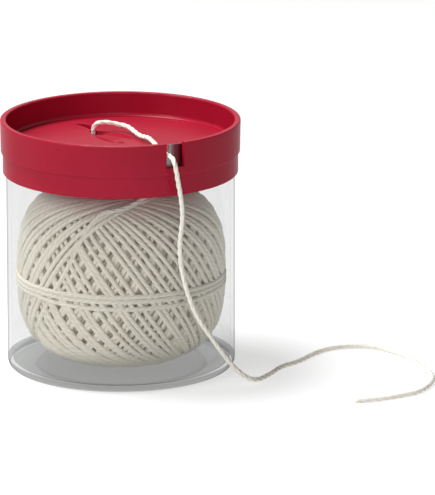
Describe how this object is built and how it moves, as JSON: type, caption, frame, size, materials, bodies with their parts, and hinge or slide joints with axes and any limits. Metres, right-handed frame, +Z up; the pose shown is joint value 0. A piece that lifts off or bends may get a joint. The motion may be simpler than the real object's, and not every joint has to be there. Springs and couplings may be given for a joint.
{
  "type": "twine dispenser jar",
  "caption": "Clear round jar with a ball of cotton twine, closed by a push-on lid with a sunken deck, a twine eye and slit, and a notch with a steel cutter.",
  "frame": {"origin": "centre of the jar's foot ring, on the surface that the jar stands on", "axes": "+Z up along the jar's axis; -Y is the front; the cutter notch is at the front, turned towards +X"},
  "size_m": [0.1421, 0.09, 0.083],
  "materials": {
    "clear_plastic": "clear, glossy",
    "red_plastic": "glossy",
    "blade_steel": "satin",
    "cotton_twine": "matt, spun"
  },
  "bodies": {
    "jar_body": {"jar": "clear_plastic"},
    "ball_body": {"twine_ball": "cotton_twine"},
    "lid_body": {"lid": "red_plastic", "cutter_blade": "blade_steel", "twine_lead": "cotton_twine", "twine_tail": "cotton_twine"}
  },
  "joints": [
    {"name": "ball_turn", "type": "hinge", "parent": "jar_body", "child": "ball_body", "pos_m": [0, 0, 0.032], "axis": [0, 0, 1], "continuous": true},
    {"name": "lid_lift", "type": "slide", "parent": "jar_body", "child": "lid_body", "axis": [0, 0, 1], "range_m": [0, 0.03], "deforming": ["twine_lead", "twine_tail"]}
  ]
}
